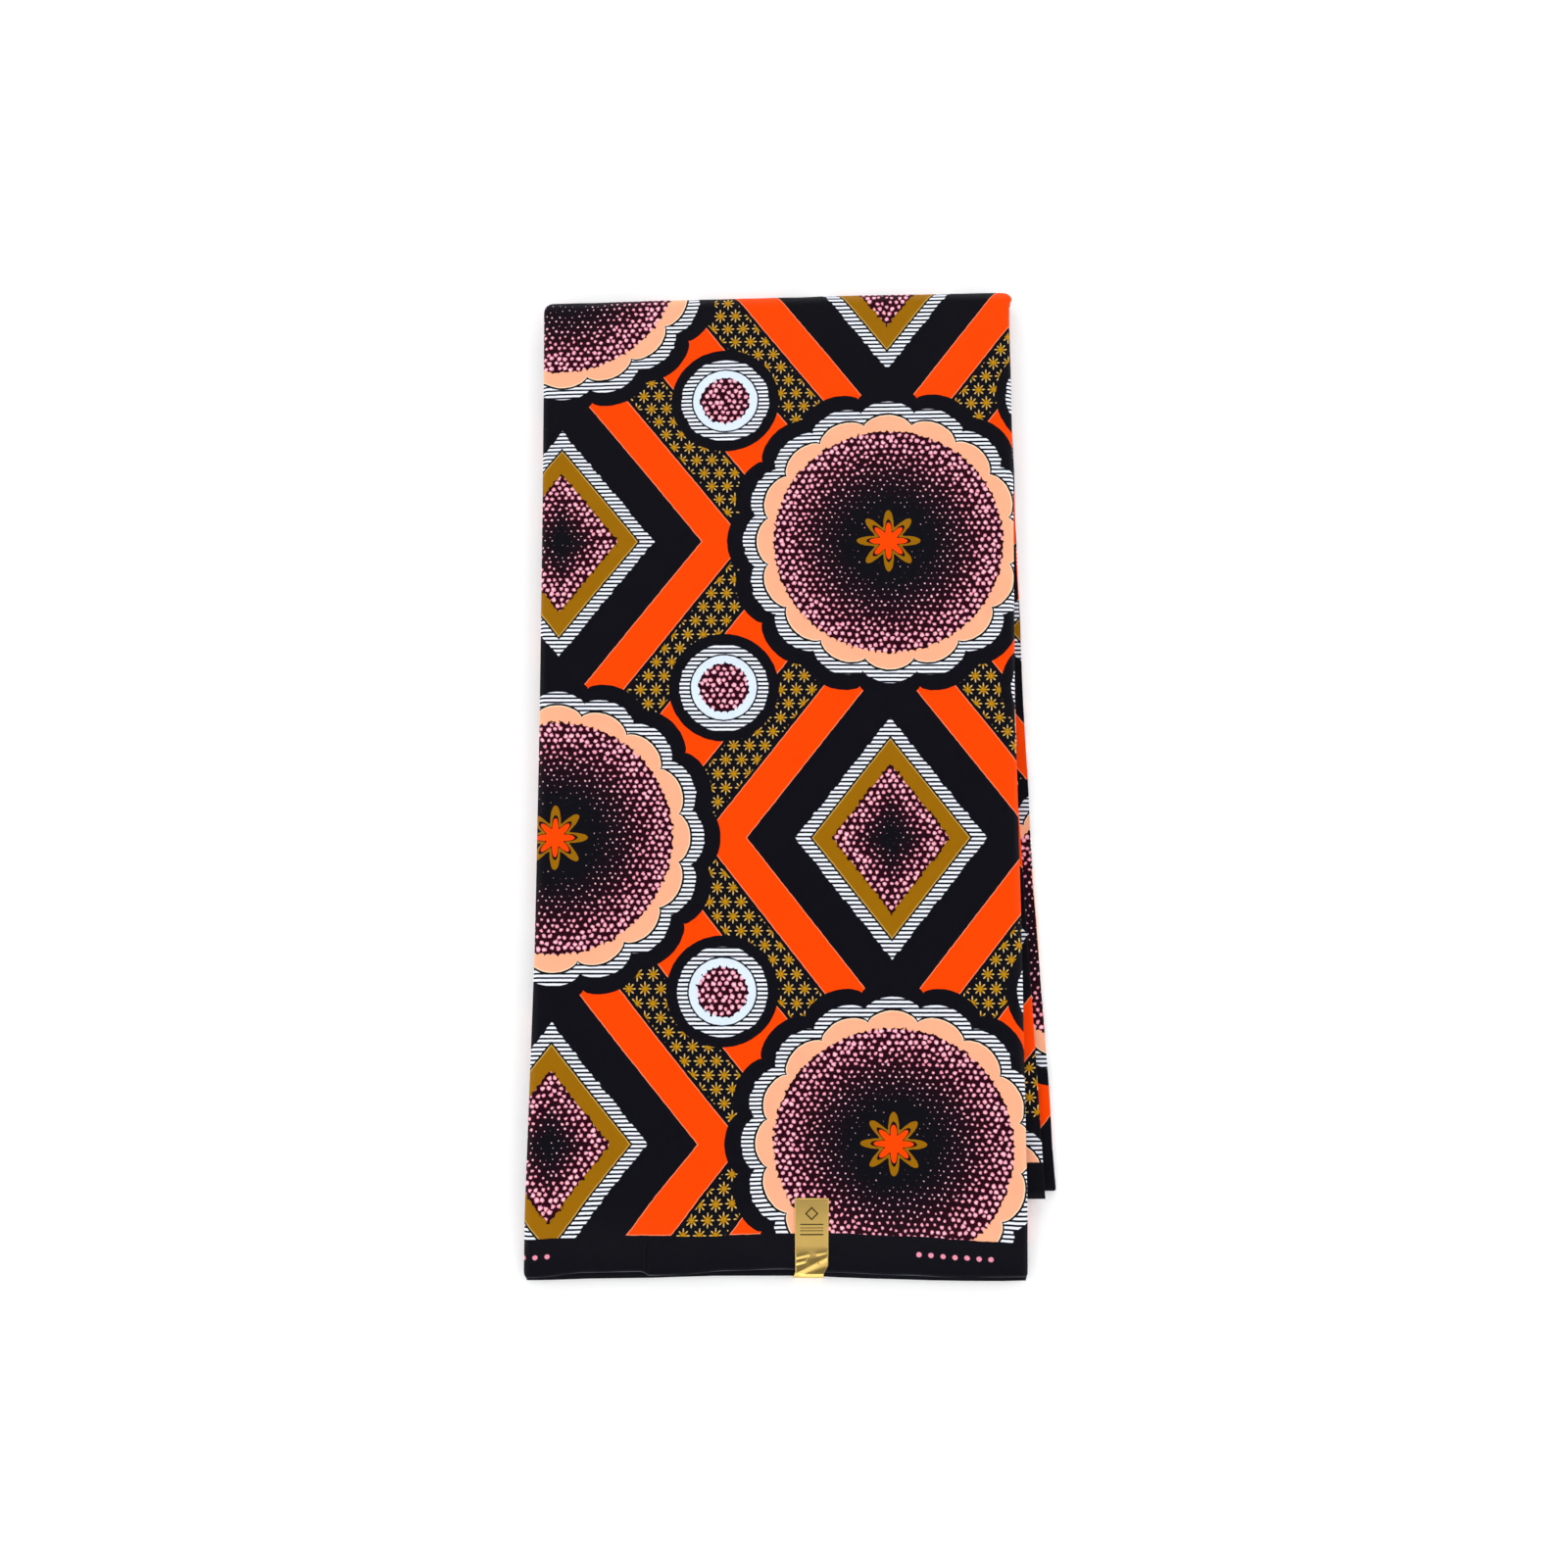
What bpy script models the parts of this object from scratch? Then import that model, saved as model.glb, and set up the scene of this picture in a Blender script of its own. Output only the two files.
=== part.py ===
"""A six-yard length of wax-print cotton, fan-folded into a narrow stack and folded once over its top.

It lies flat: X across the stack, Y up the front towards the top fold, Z up. Lengths are in metres.
The layers follow one folding line: up the front half from its selvedge, round the top fold, and back down
the back half. A point of a layer has a place across it, a distance along the line and a height off it.
"""

import math

import bmesh
import bpy
from mathutils import Vector

# Driving dimensions
HALF_STACK = 0.0070  # thickness of each half: 19 plies of 0.36 mm
WALL = 0.0010  # wall of a layer that shows
GAP = 0.0003  # clearance between two layers
FOLD_Y = 0.3036  # outermost point of the top fold
FRONT_END_Y = -0.2852  # selvedges of the front half's hidden plies
SECOND_END_Y = -0.2405  # selvedge of the back half's upper layer
HIDDEN_END_Y = -0.2392  # selvedges of the back half's hidden plies
BACK_END_Y = -0.2360  # selvedge of the back half's lowest layer
BACK_GROUP = 0.0030  # thickness of the back half's lowest group of plies
BACK_TAPER = 0.012  # that group reaches its thickness this far past the fold
DROOP_Y = -0.2400  # from here the front half sinks past the ends of the back half
TIP_LIFT = 0.0006  # height of the folding line above the surface at the front selvedge
SIDE_TURN = 0.0022  # how far the outer ply turns down along its sides
SIDE_TURN_FROM = 0.955  # share of the half width at which it starts to turn down
RIDGE_DEPTH = 0.0006  # grooves between folded plies along the sides and selvedges
LABEL_LEFT = 0.0060
LABEL_RIGHT = 0.0254
LABEL_TOP_Y = -0.2400
LABEL_TUCK = 0.016  # length of foil folded under the front half
LABEL_WALL = 0.0004
LABEL_TAPER = 0.0005  # the foil narrows by this much on each side towards its lower edge
LABEL_UPPER_BEND = 0.0026
LABEL_LOWER_BEND = 0.0009
LABEL_FLAT_STEPS = 10  # stations down the front before the foil bends round the selvedges
SLOPE_STEP = 0.0005  # distance over which the folding line's slope is read
STATION_CLEARANCE = 0.0012  # closest two stations come at the end of a layer
HIDDEN_INSET = 0.0004  # the hidden plies lie this far inside the layers that show
HIDDEN_RIDGES = 4
BACK_RIDGES = 2
FOLD_SEAM = 0.0020  # the second layer starts this far past the fold

# The visible ply's selvedge is a little uneven: x, y
FRONT_SELVEDGE = (
    (-0.1480, -0.2843),
    (-0.1110, -0.2810),
    (-0.0790, -0.2805),
    (-0.0600, -0.2827),
    (-0.0300, -0.2799),
    (0.0000, -0.2789),
    (0.0250, -0.2810),
    (0.0670, -0.2827),
    (0.1030, -0.2843),
    (0.1390, -0.2845),
)

# Sides of the layers, from the top fold down: y, left x, right x
FRONT_SIDES = (
    (0.3036, -0.1452, 0.1386),
    (0.2960, -0.1462, 0.1391),
    (0.1800, -0.1449, 0.1377),
    (0.0400, -0.1441, 0.1362),
    (-0.1000, -0.1443, 0.1375),
    (-0.1900, -0.1459, 0.1379),
    (-0.2855, -0.1477, 0.1382),
)
SECOND_SIDES = (
    (0.3036, -0.1430, 0.1355),
    (-0.0050, -0.1420, 0.1373),
    (-0.0900, -0.1390, 0.1415),
    (-0.1450, -0.1370, 0.1443),
    (-0.2405, -0.1330, 0.1489),
)
BACK_SIDES = (
    (0.3036, -0.1452, 0.1383),
    (0.2100, -0.1440, 0.1386),
    (0.0600, -0.1410, 0.1417),
    (-0.0600, -0.1370, 0.1462),
    (-0.1500, -0.1320, 0.1510),
    (-0.2360, -0.1270, 0.1553),
)

# Columns of a layer, as shares of its half width: close together where the sides turn down
COLUMNS = (-1.0, -0.988, -0.972, -0.955, -0.48, 0.0, 0.48, 0.955, 0.972, 0.988, 1.0)

# The folding line
FOLD_CENTRE_Y = FOLD_Y - HALF_STACK
FOLD_START = FOLD_CENTRE_Y - FRONT_END_Y
FOLD_LENGTH = math.pi * HALF_STACK
FOLD_END = FOLD_START + FOLD_LENGTH
DROOP_END = DROOP_Y - FRONT_END_Y
INNER_OFF = GAP / 2
OUTER_OFF = HALF_STACK - WALL - GAP


def ease(share):
    share = min(max(share, 0.0), 1.0)
    return share * share * (3 - 2 * share)


def row_at(table, y):
    """The row of a table at y, with the values between two rows mixed evenly."""
    for upper, lower in zip(table, table[1:]):
        if y >= lower[0]:
            share = min(max((upper[0] - y) / (upper[0] - lower[0]), 0.0), 1.0)
            return [a + (b - a) * share for a, b in zip(upper, lower)]
    return list(table[-1])


def selvedge_y(x):
    for (x_left, y_left), (x_right, y_right) in zip(FRONT_SELVEDGE, FRONT_SELVEDGE[1:]):
        if x <= x_right:
            share = max((x - x_left) / (x_right - x_left), 0.0)
            return y_left + (y_right - y_left) * share
    return FRONT_SELVEDGE[-1][1]


def line_height(y):
    """Height of the folding line under the front half."""
    sunk = ease((DROOP_Y - y) / (DROOP_Y - FRONT_END_Y))
    return HALF_STACK - (HALF_STACK - TIP_LIFT) * sunk


def on_line(along, off):
    """(y, z) at a distance along the folding line and a height off it."""
    if along <= FOLD_START:
        y = FRONT_END_Y + along
        rise = line_height(y + SLOPE_STEP) - line_height(y - SLOPE_STEP)
        tilt = math.atan(rise / (2 * SLOPE_STEP))
        return y - off * math.sin(tilt), line_height(y) + off * math.cos(tilt)
    if along <= FOLD_END:
        turn = (along - FOLD_START) / HALF_STACK
        return FOLD_CENTRE_Y + off * math.sin(turn), HALF_STACK + off * math.cos(turn)
    return FOLD_CENTRE_Y - (along - FOLD_END), HALF_STACK - off


def back_along(y):
    """Distance along the folding line of a place on the back half."""
    return FOLD_END + FOLD_CENTRE_Y - y


def turned_share(along):
    """0 on the front half, 1 on the back half, and between them round the fold."""
    return min(max((along - FOLD_START) / FOLD_LENGTH, 0.0), 1.0)


def side_drop(across, along):
    """How far the outer ply has turned down at this place across, which fades out under the fold."""
    share = max((abs(across) - SIDE_TURN_FROM) / (1 - SIDE_TURN_FROM), 0.0)
    return SIDE_TURN * share * share * (1 - ease(2 * turned_share(along) - 1))


def stations(start, end):
    """Places along a layer: close together in the droop and round the fold, wide on the flat."""
    stretches = (
        (0.0, DROOP_END, 9),
        (DROOP_END, FOLD_START, 9),
        (FOLD_START, FOLD_END, 12),
        (FOLD_END, FOLD_END + BACK_TAPER, 3),
        (FOLD_END + BACK_TAPER, back_along(SECOND_END_Y), 9),
    )
    marks = [low + (high - low) * i / count for low, high, count in stretches for i in range(count)]
    inside = [mark for mark in marks if start + STATION_CLEARANCE < mark < end - STATION_CLEARANCE]
    return [start] + inside + [end]


def counted_grid(columns, rows):
    """A flat grid whose vertices stand at their own column and row number."""
    bm = bmesh.new()
    bmesh.ops.create_grid(bm, x_segments=columns - 1, y_segments=rows - 1, size=1.0)
    bmesh.ops.translate(bm, vec=(1, 1, 0), verts=bm.verts)
    bmesh.ops.scale(bm, vec=((columns - 1) / 2, (rows - 1) / 2, 1), verts=bm.verts)
    return bm


def raise_levels(bm, count):
    """Extrudes a flat grid up by one unit at a time into a closed block."""
    top = bm.verts[:] + bm.edges[:] + bm.faces[:]
    for _ in range(count):
        top = bmesh.ops.extrude_face_region(bm, geom=top)["geom"]
        risen = [item for item in top if isinstance(item, bmesh.types.BMVert)]
        bmesh.ops.translate(bm, vec=(0, 0, 1), verts=risen)


def layer(name, start, end, levels, sides, off_at, drop_share, start_at=None):
    """A layer's solid: a grid of places by columns, extruded once for each level, then laid on the line.

    Each level is (share of the thickness, inset of the sides and ends). sides(along) gives left and right x,
    off_at(along, share) the height off the line, drop_share(share) how much of the side drop it takes.
    """
    places = stations(start, end)
    last_row = len(places) - 1
    bm = counted_grid(len(COLUMNS), len(places))
    raise_levels(bm, len(levels) - 1)
    for vert in bm.verts:
        column, row, level = (round(value) for value in vert.co)
        share, inset = levels[level]
        along = places[row]
        left, right = sides(along)
        across = COLUMNS[column]
        middle, half = (left + right) / 2, (right - left) / 2 - inset
        x = middle + across * half
        if row == 0:
            along = (start_at(x) if start_at else start) + inset
        if row == last_row:
            along = end - inset
        off = off_at(along, share) - side_drop(across, along) * drop_share(share)
        vert.co = (x, *on_line(along, off))
    return add_object(name, bm)


def add_object(name, bm):
    mesh = bpy.data.meshes.new(name)
    bm.to_mesh(mesh)
    bm.free()
    obj = bpy.data.objects.new(name, mesh)
    bpy.context.scene.collection.objects.link(obj)
    return obj


def wall_levels():
    """A wall's levels, with its edges rounded off."""
    return ((0.0, RIDGE_DEPTH / 2), (0.3, 0.0), (0.7, 0.0), (1.0, RIDGE_DEPTH / 2))


def ridged_levels(ridges, inset):
    """Levels of a group of plies, bulging at each ridge and drawn in between two of them."""
    steps = 2 * ridges
    return tuple((i / steps, inset + (0.0 if i % 2 else RIDGE_DEPTH)) for i in range(steps + 1))


def front_panel():
    """The outer ply's front stretch, from its selvedge over the top fold to the underside."""
    return layer(
        "front_panel",
        start=0.0,
        end=FOLD_END - GAP / 2,
        levels=wall_levels(),
        sides=lambda along: row_at(FRONT_SIDES, FRONT_END_Y + along)[1:],
        off_at=lambda along, share: HALF_STACK - WALL * (1 - share),
        drop_share=lambda share: 1.0,
        start_at=lambda x: selvedge_y(x) - FRONT_END_Y,
    )


def hidden_sides(along):
    """The hidden plies follow the front half, then the back half's upper layer, a little inside both."""
    front = row_at(FRONT_SIDES, FRONT_END_Y + min(along, FOLD_START))[1:]
    back = row_at(SECOND_SIDES, FOLD_CENTRE_Y - max(along - FOLD_END, 0.0))[1:]
    share = ease(turned_share(along))
    return [a + (b - a) * share for a, b in zip(front, back)]


def hidden_inner_off(along):
    return INNER_OFF + (WALL + GAP) * ease(turned_share(along))


def hidden_outer_off(along):
    return OUTER_OFF - (BACK_GROUP - WALL) * ease((along - FOLD_END) / BACK_TAPER)


def inner_plies():
    """The hidden layers of both halves and the fold, as one rounded solid with layered edges."""

    def off_at(along, share):
        inner = hidden_inner_off(along)
        return inner + (hidden_outer_off(along) - inner) * share

    return layer(
        "inner_plies",
        start=0.0,
        end=back_along(HIDDEN_END_Y),
        levels=ridged_levels(HIDDEN_RIDGES, HIDDEN_INSET),
        sides=hidden_sides,
        off_at=off_at,
        drop_share=lambda share: share,
    )


def second_panel():
    """The back half's upper layer, which shows beside the front half low on the right."""
    return layer(
        "second_panel",
        start=FOLD_END + FOLD_SEAM,
        end=back_along(SECOND_END_Y),
        levels=wall_levels(),
        sides=lambda along: row_at(SECOND_SIDES, FOLD_CENTRE_Y - along + FOLD_END)[1:],
        off_at=lambda along, share: INNER_OFF + WALL * share,
        drop_share=lambda share: 0.0,
    )


def back_panel():
    """The back half's lowest group of plies, which shows furthest out and is the flat underside."""

    def off_at(along, share):
        inner = hidden_outer_off(along) + GAP
        return inner + (HALF_STACK - inner) * share

    return layer(
        "back_panel",
        start=FOLD_END + GAP / 2,
        end=back_along(BACK_END_Y),
        levels=ridged_levels(BACK_RIDGES, inset=0.0),
        sides=lambda along: row_at(BACK_SIDES, FOLD_CENTRE_Y - along + FOLD_END)[1:],
        off_at=off_at,
        drop_share=lambda share: 0.0,
    )


def arc(centre, radius, from_degrees, to_degrees, steps):
    """Points (y, z) along an arc, without its first one."""
    for i in range(1, steps + 1):
        angle = math.radians(from_degrees + (to_degrees - from_degrees) * i / steps)
        yield centre[0] + radius * math.cos(angle), centre[1] + radius * math.sin(angle)


def label_route():
    """Middle of the foil from its top edge down the front, round the selvedges and back underneath."""
    middle_off = HALF_STACK + GAP + LABEL_WALL / 2
    face_y = FRONT_END_Y - GAP - LABEL_WALL / 2
    under_z = TIP_LIFT + INNER_OFF - GAP - LABEL_WALL / 2
    upper_y = face_y + LABEL_UPPER_BEND
    route = []
    for i in range(LABEL_FLAT_STEPS + 1):
        y = LABEL_TOP_Y + (upper_y - LABEL_TOP_Y) * i / LABEL_FLAT_STEPS
        route.append(on_line(y - FRONT_END_Y, middle_off))
    upper_centre = (upper_y, route[-1][1] - LABEL_UPPER_BEND)
    route += arc(upper_centre, LABEL_UPPER_BEND, 90, 180, 5)
    lower_centre = (face_y + LABEL_LOWER_BEND, under_z + LABEL_LOWER_BEND)
    route.append((face_y, lower_centre[1]))
    route += arc(lower_centre, LABEL_LOWER_BEND, 180, 270, 3)
    route.append((face_y + LABEL_TUCK, under_z))
    return [Vector(point) for point in route]


def foil_label():
    """Gold foil glued over the front selvedges: a strip along its route, thickened to a thin wall."""
    route = label_route()
    last = len(route) - 1
    bm = counted_grid(2, len(route))
    raise_levels(bm, 1)
    for vert in bm.verts:
        side, row, level = (round(value) for value in vert.co)
        ahead = route[min(row + 1, last)] - route[max(row - 1, 0)]
        inward = Vector((-ahead.y, ahead.x)).normalized()
        narrowed = LABEL_TAPER * min(row / LABEL_FLAT_STEPS, 1.0)
        y, z = route[row] + inward * LABEL_WALL * (level - 0.5)
        x = LABEL_RIGHT - narrowed if side else LABEL_LEFT + narrowed
        vert.co = (x, y, z)
    return add_object("foil_label", bm)


def finish(obj, colour, roughness, metallic):
    """Gives an object its own material, in linear colour values."""
    material = bpy.data.materials.new(obj.name)
    material.use_nodes = True
    shader = material.node_tree.nodes["Principled BSDF"]
    shader.inputs["Base Color"].default_value = (*colour, 1)
    shader.inputs["Roughness"].default_value = roughness
    shader.inputs["Metallic"].default_value = metallic
    obj.data.materials.append(material)


def stand_on_origin(objects):
    """Carries the pieces on one empty, so that the middle of their footprint lies over the origin."""
    corners = [vert.co for obj in objects for vert in obj.data.vertices]
    low = Vector([min(corner[i] for corner in corners) for i in range(3)])
    high = Vector([max(corner[i] for corner in corners) for i in range(3)])
    stack = bpy.data.objects.new("folded_cloth", None)
    bpy.context.scene.collection.objects.link(stack)
    stack.location = (-(low.x + high.x) / 2, -(low.y + high.y) / 2, -low.z)
    for obj in objects:
        obj.parent = stack


def main():
    for obj in list(bpy.data.objects):
        bpy.data.objects.remove(obj)
    front = front_panel()
    second = second_panel()
    back = back_panel()
    hidden = inner_plies()
    label = foil_label()
    finish(front, colour=(0.006, 0.006, 0.009), roughness=0.42, metallic=0.0)
    finish(second, colour=(1.0, 0.071, 0.0), roughness=0.5, metallic=0.0)
    finish(back, colour=(0.98, 0.46, 0.29), roughness=0.5, metallic=0.0)
    finish(hidden, colour=(0.33, 0.15, 0.003), roughness=0.6, metallic=0.0)
    finish(label, colour=(0.47, 0.33, 0.08), roughness=0.3, metallic=1.0)
    stand_on_origin([front, second, back, hidden, label])


main()
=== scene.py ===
"""A six-yard length of wax-print cotton, fan-folded, folded once over its top and sealed with gold foil.

It lies flat: X across the stack, Y up the front towards the top fold, Z up. Lengths are in metres.
The layers follow one folding line: up the front half from its selvedge, round the top fold, and back down
the back half. A point of a layer has a place across it, a distance along the line and a height off it.
"""

import math

import bmesh
import bpy
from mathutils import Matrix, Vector


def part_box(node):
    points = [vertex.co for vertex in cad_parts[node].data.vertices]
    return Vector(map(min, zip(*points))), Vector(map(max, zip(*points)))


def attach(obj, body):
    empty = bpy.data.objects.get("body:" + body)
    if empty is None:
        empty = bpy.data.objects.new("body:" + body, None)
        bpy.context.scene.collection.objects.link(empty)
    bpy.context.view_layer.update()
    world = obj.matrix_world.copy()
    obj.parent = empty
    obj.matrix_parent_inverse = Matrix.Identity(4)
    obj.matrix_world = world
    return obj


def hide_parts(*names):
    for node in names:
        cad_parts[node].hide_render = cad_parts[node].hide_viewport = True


# The folding line, in the bundle's own measures
HALF_STACK = 0.0070  # thickness of each half of the bundle
WALL = 0.0010  # room for an outer ply and its tucked edges
GAP = 0.0003  # between two layers
FOLD_Y = 0.3036  # the top fold's outermost place
FRONT_END_Y = -0.2852  # where the line starts, under the front selvedge
SECOND_END_Y = -0.2405  # selvedge of the back half's upper ply
HIDDEN_END_Y = -0.2392  # the hidden plies' end on the back half
BACK_END_Y = -0.2360  # the lowest plies' end
BACK_GROUP = 0.0030  # thickness of the lowest plies
BACK_TAPER = 0.012  # distance past the fold in which they reach that thickness
DROOP_Y = -0.2400  # from here to its start the front half sinks to the surface
TIP_LIFT = 0.0006  # height of the line at its start
SIDE_TURN = 0.0022  # how far the outer plies turn down at their sides
SIDE_TURN_FROM = 0.955  # where they start to, as a share of the half width
SLOPE_STEP = 0.0005  # distance to each side over which the line's slope is read
FOLD_SEAM = 0.0020  # how far past the fold the back half's upper ply starts
FOLD_CENTRE_Y = FOLD_Y - HALF_STACK
FOLD_START = FOLD_CENTRE_Y - FRONT_END_Y
FOLD_LENGTH = math.pi * HALF_STACK
FOLD_END = FOLD_START + FOLD_LENGTH
DROOP_END = DROOP_Y - FRONT_END_Y
FRONT_LOW_X = -0.1477  # left side of the front half's widest place

# The cloth
CLOTH_WIDTH = 1.12
PANEL_WIDTH = 0.286
PLY = 0.00040
ROLL = 0.00030  # radius of a ply's folded edge, to the middle of the cloth
ROLL_STEPS = 6
TUCK = 0.0045  # how far a folded edge runs back under its ply
TUCK_MIDDLE = 0.4 * TUCK
BAND = 0.0205  # black band along each selvedge
HIDDEN_PLIES = 18
BACK_PLIES = 8

# Where each layer's print starts and how it shifts from one fold loop to the next
PRINT_LEFT = -0.1445  # the front ply's print is counted from here
SECOND_SHIFT = 0.1210
HIDDEN_SHIFT = 0.1900
HIDDEN_LOOP_STEP = 0.137
HIDDEN_LOOP_LEFT, HIDDEN_LOOP_RIGHT = 0.06, 0.17
BACK_UPPER_SHIFT = 0.2210
BACK_UNDER_FROM = 0.25
BACK_LOOP_STEP = 0.113
BACK_LOOP_LEFT, BACK_LOOP_RIGHT = 0.21, 0.36

# Distances between a mesh's rows along the line, and between its columns
FRONT_STEP = 0.0036
SECOND_STEP = 0.0050
STACK_STEP = 0.0065
FOLD_STEP = 0.0010
TAPER_STEP = 0.0030
DROOP_SHARE = 0.6  # of the usual step, in the droop
CLEAR_SHARE = 0.4  # of the usual step, kept clear at each end
FOLD_APPROACH = 0.016  # last stretch before the fold, with rows twice as close
COLUMN_STEP = 0.0031
SIDE_COLUMN_STEP = 0.0009
SIDE_COLUMNS = 9
SIDE_MARGIN = 0.009
CREASE_COLUMNS = (0.0, 0.0004, 0.0008, 0.0013, 0.0019, 0.0027)
CREASE_MARGIN = 0.0034
LEAST_COLUMN_STEP = 0.00025

# A stack's sides: places across it as shares, how far each level stands back from its fold loop's crown,
# and how the loops sway along it
RIM_FROM = 0.9
RIM_PLACES = (RIM_FROM, 0.955, 0.972, 0.988, 1.0)
LOOP_GROOVE = (0.00048, 0.00010, 0.0, 0.00010)
PLY_LEVELS = 2  # a ply's upper and lower side
LOOP_LEVELS = 2 * PLY_LEVELS
LONG_SWAY, SHORT_SWAY = 0.00034, 0.00020
LONG_SWAY_WAVE, SHORT_SWAY_WAVE = 31, 71  # in radians a metre
SWAY_LAG = 2.3  # in radians, from one loop to the next
CUT_BEVEL = 0.0003  # how far a cut end's lower side stands back
HIDDEN_INSET = 0.0002
HIDDEN_ENDS = (0.0016, 0.0004, 0.0021, 0.0011, 0.0027, 0.0008, 0.0018, 0.0003, 0.0013, 0.0024, 0.0006)
BACK_ENDS = (0.0, 0.0006, 0.0012, 0.0004, 0.0015, 0.0009, 0.0002, 0.0011)

# The visible ply's selvedge is a little uneven: x, y
FRONT_SELVEDGE = (
    (-0.1480, -0.2846),
    (-0.1420, -0.2843),
    (-0.1110, -0.2810),
    (-0.0810, -0.2805),
    (-0.0760, -0.2829),
    (-0.0610, -0.2827),
    (-0.0310, -0.2799),
    (0.0000, -0.2789),
    (0.0250, -0.2810),
    (0.0670, -0.2827),
    (0.1000, -0.2842),
    (0.1390, -0.2838),
)
# How far the plies under it reach past their line's start: x, reach
UNDER_SELVEDGE = (
    (-0.1480, 0.0010),
    (-0.1250, 0.0008),
    (-0.1100, 0.0001),
    (-0.0800, -0.0003),
    (-0.0580, -0.0010),
    (-0.0350, -0.0016),
    (0.0200, -0.0016),
    (0.0320, -0.0006),
    (0.0450, 0.0),
    (0.0640, 0.0005),
    (0.0870, 0.0011),
    (0.1150, 0.0016),
    (0.1390, 0.0012),
)
# Top of its black band: x, y
BAND_TOP = (
    (-0.1480, -0.2618),
    (-0.1290, -0.2606),
    (-0.0840, -0.2592),
    (-0.0450, -0.2597),
    (-0.0220, -0.2586),
    (0.0000, -0.2575),
    (0.0340, -0.2575),
    (0.0500, -0.2586),
    (0.0670, -0.2592),
    (0.0780, -0.2597),
    (0.1010, -0.2615),
    (0.1150, -0.2626),
    (0.1390, -0.2638),
)

# Sides of the layers, from the top fold down: y, left x, right x
FRONT_SIDES = (
    (0.3036, -0.1452, 0.1381),
    (0.3020, -0.1458, 0.1388),
    (0.2990, -0.1460, 0.1389),
    (0.2965, -0.1462, 0.1384),
    (0.2945, -0.1462, 0.1374),
    (0.2868, -0.1460, 0.1372),
    (0.2400, -0.1455, 0.1374),
    (0.1800, -0.1449, 0.1377),
    (0.1170, -0.1445, 0.1370),
    (0.0400, -0.1441, 0.1361),
    (-0.0050, -0.1441, 0.1369),
    (-0.1000, -0.1443, 0.1377),
    (-0.1900, -0.1459, 0.1379),
    (-0.2805, -0.1476, 0.1382),
    (-0.2832, -0.1473, 0.1381),
    (-0.2855, -0.1460, 0.1374),
)
SECOND_SIDES = (
    (0.3036, -0.1430, 0.1355),
    (-0.0050, -0.1420, 0.1373),
    (-0.0900, -0.1390, 0.1415),
    (-0.1450, -0.1370, 0.1443),
    (-0.2405, -0.1330, 0.1489),
)
BACK_SIDES = (
    (0.3036, -0.1452, 0.1377),
    (0.2868, -0.1450, 0.1378),
    (0.2400, -0.1444, 0.1382),
    (0.2100, -0.1440, 0.1388),
    (0.0600, -0.1410, 0.1417),
    (-0.0600, -0.1370, 0.1462),
    (-0.1500, -0.1320, 0.1510),
    (-0.2360, -0.1270, 0.1553),
)

# How far the top fold lies below FOLD_Y, or above it where below 0: x, drop
TOP_SLANT = (
    (-0.1460, 0.0060),
    (-0.1200, 0.0053),
    (-0.0950, 0.0044),
    (-0.0700, 0.0036),
    (-0.0450, 0.0029),
    (-0.0200, 0.0023),
    (0.0050, 0.0017),
    (0.0300, 0.0008),
    (0.0550, 0.0003),
    (0.0800, -0.0002),
    (0.1050, -0.0008),
    (0.1280, -0.0012),
    (0.1390, -0.0013),
)
SLANT_FROM_Y = 0.10  # the slant grows from here up
SLANT_LENGTH = 0.19
BAND_LAG_LENGTH = 0.16  # the uneven band's shift of the print fades out over this distance

# The crease across the black band, counted from the left side
BAND_CREASE = 0.0695
LONG_WAVE = 0.00016  # height of the pressed plies' gentle waves
SHORT_WAVE = 0.00007
CREASE_REACH = 3  # half widths at which a crease ends

# Creases of the front ply, each along a line: x, y to x, y, height (below 0 for a trough), half width
CREASES = (
    (-0.0780, -0.2615, -0.0782, -0.2850, -0.00070, 0.0007),
    (-0.0796, -0.2620, -0.0797, -0.2850, 0.00026, 0.0009),
    (0.1345, 0.2960, 0.1338, 0.1500, -0.00030, 0.0008),
    (0.1325, 0.2500, 0.1322, 0.0900, 0.00016, 0.0012),
    (0.1352, 0.1400, 0.1340, 0.0300, 0.00024, 0.0007),
    (0.1335, 0.0700, 0.1325, -0.0500, -0.00026, 0.0010),
    (0.1348, -0.0100, 0.1350, -0.1200, -0.00016, 0.0009),
    (-0.1400, 0.2700, -0.1395, 0.1200, -0.00015, 0.0016),
    (-0.1385, 0.0500, -0.1390, -0.1100, 0.00014, 0.0018),
    (0.0200, 0.2850, 0.0230, 0.0300, 0.00022, 0.0160),
    (-0.0700, 0.2400, -0.0640, -0.0200, -0.00025, 0.0220),
    (0.0850, 0.1800, 0.0900, -0.0900, -0.00022, 0.0190),
    (-0.1150, 0.1500, -0.1180, -0.1600, 0.00022, 0.0150),
    (0.0450, -0.0200, 0.0420, -0.2100, 0.00024, 0.0170),
    (-0.0300, -0.0600, -0.0340, -0.2300, -0.00020, 0.0200),
    (-0.1350, -0.0300, 0.1280, -0.0345, -0.00012, 0.0140),
    (-0.1300, 0.1510, 0.1280, 0.1470, 0.00012, 0.0160),
    (0.1100, -0.1500, 0.1180, -0.2500, 0.00020, 0.0110),
    (-0.1000, -0.1900, -0.1080, -0.2550, 0.00018, 0.0120),
)

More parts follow.
